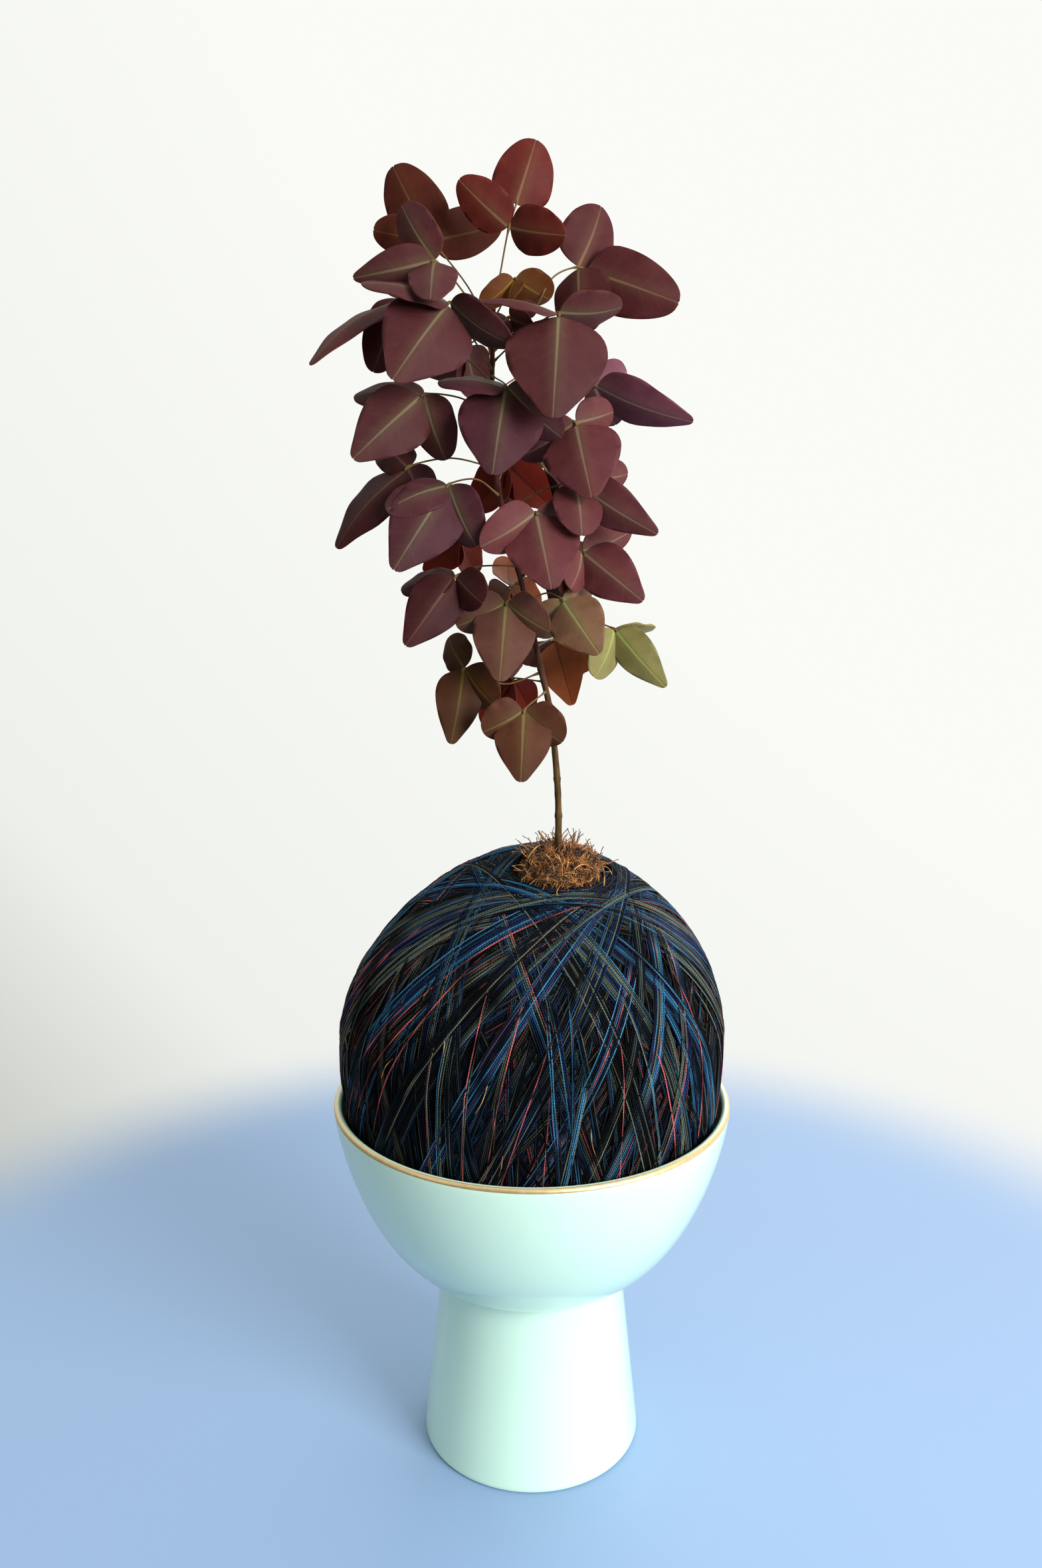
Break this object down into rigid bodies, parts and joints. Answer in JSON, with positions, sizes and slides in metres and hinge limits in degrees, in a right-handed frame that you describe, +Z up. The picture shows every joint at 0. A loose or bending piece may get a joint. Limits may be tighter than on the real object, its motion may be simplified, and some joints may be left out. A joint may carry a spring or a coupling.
{
  "type": "kokedama ball plant in a pedestal bowl",
  "caption": "House plant with three-part plum-red leaves, its roots in a coconut fibre ball wound with dark yarn, standing in a pale glazed pedestal bowl.",
  "frame": {"origin": "centre of the bowl's foot ring, on the surface it stands on", "axes": "+Z up along the bowl's axis, +X to the right as seen from the front, -Y towards the front"},
  "size_m": [0.15, 0.15, 0.4784],
  "materials": {
    "glazed_ceramic": "gloss glaze, with a gilt line on the rim",
    "yarn": "dark variegated yarn",
    "coir": "matted coconut fibre",
    "soil": "damp fibrous soil",
    "bark": "thin woody bark",
    "plum_leaf": "satin leaf, plum to red-brown",
    "green_leaf": "satin leaf, green to olive"
  },
  "bodies": {
    "root": {"bowl": "glazed_ceramic", "yarn_wrap": "yarn", "coir_cover": "coir", "root_ball": "soil", "stem": "bark", "leaf_01": "plum_leaf", "leaf_02": "plum_leaf", "leaf_03": "plum_leaf", "leaf_04": "plum_leaf", "leaf_05": "plum_leaf", "leaf_06": "green_leaf", "leaf_07": "plum_leaf", "leaf_08": "plum_leaf", "leaf_09": "plum_leaf", "leaf_10": "plum_leaf", "leaf_11": "plum_leaf", "leaf_12": "plum_leaf", "leaf_13": "plum_leaf", "leaf_14": "plum_leaf", "leaf_15": "plum_leaf", "leaf_16": "plum_leaf", "leaf_17": "plum_leaf", "leaf_18": "plum_leaf", "leaf_19": "plum_leaf", "leaf_20": "plum_leaf", "leaf_21": "green_leaf", "leaf_22": "plum_leaf", "leaf_23": "plum_leaf", "leaf_24": "plum_leaf", "leaf_25": "plum_leaf", "leaf_26": "plum_leaf", "leaf_27": "plum_leaf", "leaf_28": "plum_leaf", "leaf_29": "plum_leaf", "leaf_30": "plum_leaf", "leaf_31": "plum_leaf", "leaf_32": "plum_leaf", "leaf_33": "plum_leaf"}
  },
  "joints": []
}
